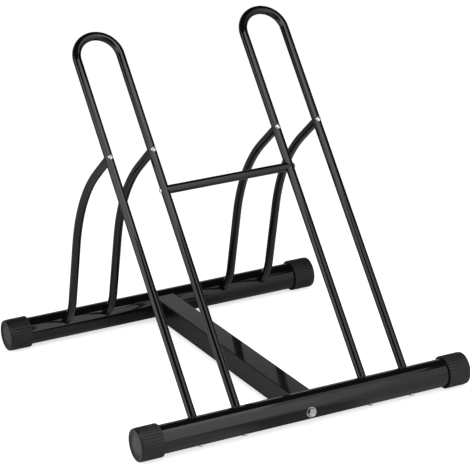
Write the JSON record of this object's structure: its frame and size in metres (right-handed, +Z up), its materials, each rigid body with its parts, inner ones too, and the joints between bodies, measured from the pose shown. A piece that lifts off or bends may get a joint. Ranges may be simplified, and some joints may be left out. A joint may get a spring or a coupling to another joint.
{
  "type": "floor bike rack",
  "caption": "Floor rack that holds bicycle wheels upright between leaning tube hoops on a low steel base frame.",
  "frame": {"origin": "on the floor under the middle of the rack", "axes": "+X along the base tubes to the right, +Y to the back (the side the hoops lean towards), +Z up"},
  "size_m": [0.65, 0.6426, 0.6239],
  "materials": {
    "black_coat": "gloss black powder coat on steel tube",
    "cap_rubber": "matt moulded rubber with fine flutes",
    "zinc_plate": "bright zinc plate on steel fasteners",
    "plain_steel": "bare mild steel inside the tubes"
  },
  "bodies": {
    "root": {"front_base_tube": "black_coat", "rear_base_tube": "black_coat", "connecting_bar": "black_coat", "hoop_left": "black_coat", "hoop_right": "black_coat", "cross_bar": "black_coat", "strut_left_outer": "black_coat", "strut_left_inner": "black_coat", "strut_right_inner": "black_coat", "strut_right_outer": "black_coat", "end_cap_front_left": "cap_rubber", "end_cap_front_right": "cap_rubber", "end_cap_rear_left": "cap_rubber", "end_cap_rear_right": "cap_rubber", "leg_foot_screws": "zinc_plate", "strut_foot_screws": "zinc_plate", "strut_top_screws": "zinc_plate", "cross_bar_screws": "zinc_plate", "bar_bolt_front": "zinc_plate", "bar_bolt_rear": "zinc_plate", "bar_washer_front": "zinc_plate", "bar_washer_rear": "zinc_plate", "leg_foot_inserts": "zinc_plate", "strut_foot_inserts": "zinc_plate", "strut_top_inserts": "zinc_plate", "cross_bar_inserts": "zinc_plate", "bar_nut_front": "zinc_plate", "bar_nut_rear": "zinc_plate", "bar_end_plate_front": "plain_steel", "bar_end_plate_rear": "plain_steel"}
  },
  "joints": []
}
